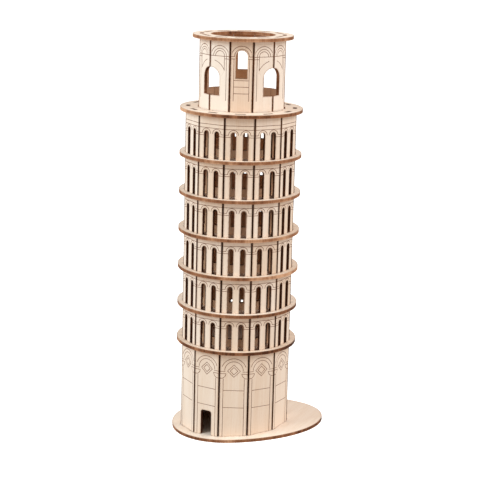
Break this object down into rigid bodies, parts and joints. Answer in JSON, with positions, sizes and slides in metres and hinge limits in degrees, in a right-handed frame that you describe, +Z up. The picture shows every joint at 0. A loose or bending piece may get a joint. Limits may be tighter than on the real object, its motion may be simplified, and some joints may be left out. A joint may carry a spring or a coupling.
{
  "type": "leaning bell tower model",
  "caption": "Push-together plywood model of a leaning round bell tower with open arcaded galleries and a belfry on an oval base plate.",
  "frame": {"origin": "on the underside of the base plate, under the foot of the tower's axis", "axes": "+Z up, +X the way the tower leans, -Y the front, beside the door"},
  "size_m": [0.0947, 0.0784, 0.2449],
  "materials": {
    "plywood": "bare light birch plywood, laser-cut, with browned cut edges"
  },
  "bodies": {
    "root": {"arcade_1_panels": "plywood", "arcade_2_panels": "plywood", "arcade_3_panels": "plywood", "arcade_4_panels": "plywood", "arcade_5_panels": "plywood", "arcade_6_panels": "plywood", "base_plate": "plywood", "belfry_panel_01": "plywood", "belfry_panel_02": "plywood", "belfry_panel_03": "plywood", "belfry_panel_04": "plywood", "belfry_panel_05": "plywood", "belfry_panel_06": "plywood", "belfry_panel_07": "plywood", "belfry_panel_08": "plywood", "belfry_panel_09": "plywood", "belfry_panel_10": "plywood", "belfry_panel_11": "plywood", "belfry_panel_12": "plywood", "crown_ring": "plywood", "door_panel": "plywood", "gallery_ring_1": "plywood", "gallery_ring_2": "plywood", "gallery_ring_3": "plywood", "gallery_ring_4": "plywood", "gallery_ring_5": "plywood", "gallery_ring_6": "plywood", "gallery_ring_7": "plywood", "ground_panel_01": "plywood", "ground_panel_02": "plywood", "ground_panel_03": "plywood", "ground_panel_04": "plywood", "ground_panel_05": "plywood", "ground_panel_06": "plywood", "ground_panel_07": "plywood", "ground_panel_08": "plywood", "ground_panel_09": "plywood", "ground_panel_10": "plywood", "ground_panel_11": "plywood", "inner_stave_01": "plywood", "inner_stave_02": "plywood", "inner_stave_03": "plywood", "inner_stave_04": "plywood", "inner_stave_05": "plywood", "inner_stave_06": "plywood", "inner_stave_07": "plywood", "inner_stave_08": "plywood", "inner_stave_09": "plywood", "inner_stave_10": "plywood", "inner_stave_11": "plywood", "inner_stave_12": "plywood"}
  },
  "joints": []
}
